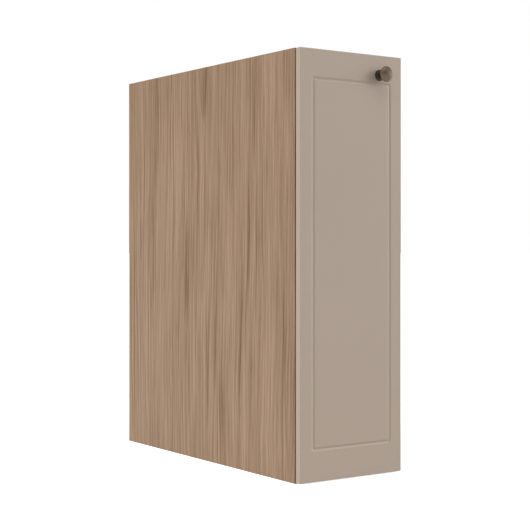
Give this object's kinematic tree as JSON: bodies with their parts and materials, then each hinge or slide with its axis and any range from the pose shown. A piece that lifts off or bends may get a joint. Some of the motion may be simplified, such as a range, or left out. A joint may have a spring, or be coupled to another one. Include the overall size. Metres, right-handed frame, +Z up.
{
  "type": "pantry cabinet",
  "caption": "Tall narrow frameless base cabinet with a side-hung grooved door, a round knob, loose shelves and a magnetic catch.",
  "frame": {"origin": "middle of the carcass footprint, without the door, on the plane the cabinet stands on", "axes": "+Z up; the door and the front face -Y; +X to the right when facing the door from outside"},
  "size_m": [0.2, 0.5576, 0.66],
  "materials": {
    "wood_decor": "satin",
    "edge_band": "satin",
    "hardboard": "smooth",
    "door_paint": "satin paint",
    "aged_bronze": "aged",
    "nickel_steel": "satin",
    "zinc_steel": "satin",
    "beech": "raw",
    "white_plastic": "satin",
    "ferrite": "matte",
    "clear_bumper": "soft"
  },
  "bodies": {
    "carcass": {"back_panel": "hardboard", "bottom_edge_band": "edge_band", "bottom_panel": "wood_decor", "cam_bolts": "zinc_steel", "cam_locks": "zinc_steel", "catch_housing": "white_plastic", "catch_magnet": "ferrite", "catch_pole_plates": "zinc_steel", "catch_screws": "zinc_steel", "dowels": "beech", "hinge_adjusting_screws": "nickel_steel", "hinge_clamp_screws": "nickel_steel", "left_edge_band": "edge_band", "left_side_panel": "wood_decor", "lower_hinge_arm": "nickel_steel", "lower_mounting_plate": "nickel_steel", "lower_shelf": "wood_decor", "lower_shelf_edge_band": "edge_band", "mounting_plate_screws": "zinc_steel", "rear_rail": "wood_decor", "right_edge_band": "edge_band", "right_side_panel": "wood_decor", "shelf_pins": "white_plastic", "top_edge_band": "edge_band", "top_panel": "wood_decor", "upper_hinge_arm": "nickel_steel", "upper_mounting_plate": "nickel_steel", "upper_shelf": "wood_decor", "upper_shelf_edge_band": "edge_band"},
    "door": {"door_bumpers": "clear_bumper", "door_panel": "door_paint", "hinge_cup_screws": "nickel_steel", "knob": "aged_bronze", "knob_rose": "aged_bronze", "knob_screw": "zinc_steel", "lower_hinge_cup": "nickel_steel", "lower_hinge_pin": "nickel_steel", "strike_plate": "zinc_steel", "strike_screw": "zinc_steel", "upper_hinge_cup": "nickel_steel", "upper_hinge_pin": "nickel_steel"}
  },
  "joints": [
    {"name": "door_swing", "type": "hinge", "parent": "carcass", "child": "door", "pos_m": [-0.0947, -0.268, 0.33], "axis": [0, 0, -1], "range_deg": [0, 95]}
  ]
}
